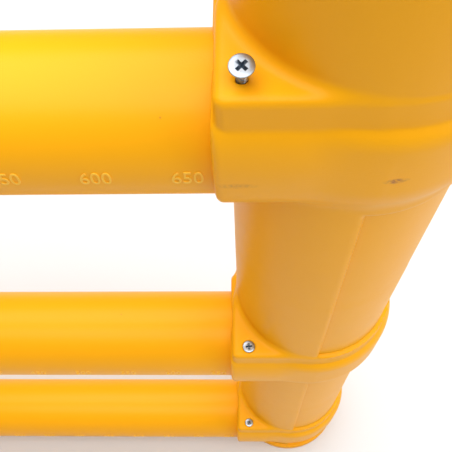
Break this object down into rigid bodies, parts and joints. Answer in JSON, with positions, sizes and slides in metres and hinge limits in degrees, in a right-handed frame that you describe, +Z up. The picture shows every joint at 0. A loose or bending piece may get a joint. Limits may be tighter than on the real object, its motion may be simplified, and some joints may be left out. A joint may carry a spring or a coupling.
{
  "type": "extendable post and rail barrier",
  "caption": "Extendable yellow plastic barrier: two round posts joined by telescopic tubular rails with a length scale.",
  "frame": {"origin": "on the floor, under the middle of the barrier's box at rest", "axes": "+X along the rails towards the post that carries the scale tubes, +Y to the back, +Z up"},
  "size_m": [1.4918, 0.1768, 1.0963],
  "materials": {
    "yellow_polyethylene": "satin moulded polyethylene with a fine orange-peel texture",
    "zinc_plated_steel": "bright zinc plate",
    "galvanised_steel": "dull hot-dip galvanised",
    "black_polypropylene": "plain moulded"
  },
  "bodies": {
    "right_half": {"post_shell_right": "yellow_polyethylene", "post_cap_right": "yellow_polyethylene", "base_plate_right": "galvanised_steel", "core_tube_right": "galvanised_steel", "core_spacer_lower_right": "black_polypropylene", "core_spacer_upper_right": "black_polypropylene", "collar_screw_lower_right": "zinc_plated_steel", "collar_screw_middle_right": "zinc_plated_steel", "collar_screw_upper_right": "zinc_plated_steel", "scale_tube_lower": "yellow_polyethylene", "scale_tube_middle": "yellow_polyethylene", "scale_tube_upper": "yellow_polyethylene", "end_plug_lower": "black_polypropylene", "end_plug_middle": "black_polypropylene", "end_plug_upper": "black_polypropylene"},
    "left_half": {"post_shell_left": "yellow_polyethylene", "post_cap_left": "yellow_polyethylene", "base_plate_left": "galvanised_steel", "core_tube_left": "galvanised_steel", "core_spacer_lower_left": "black_polypropylene", "core_spacer_upper_left": "black_polypropylene", "collar_screw_lower_left": "zinc_plated_steel", "collar_screw_middle_left": "zinc_plated_steel", "collar_screw_upper_left": "zinc_plated_steel", "wide_tube_lower": "yellow_polyethylene", "wide_tube_middle": "yellow_polyethylene", "wide_tube_upper": "yellow_polyethylene", "mouth_clamp_lower": "yellow_polyethylene", "mouth_clamp_middle": "yellow_polyethylene", "mouth_clamp_upper": "yellow_polyethylene", "lock_screw_lower": "zinc_plated_steel", "lock_screw_middle": "zinc_plated_steel", "lock_screw_upper": "zinc_plated_steel"}
  },
  "joints": [
    {"name": "extend", "type": "slide", "parent": "right_half", "child": "left_half", "axis": [-1, 0, 0], "range_m": [-0.45, 0.08]}
  ]
}
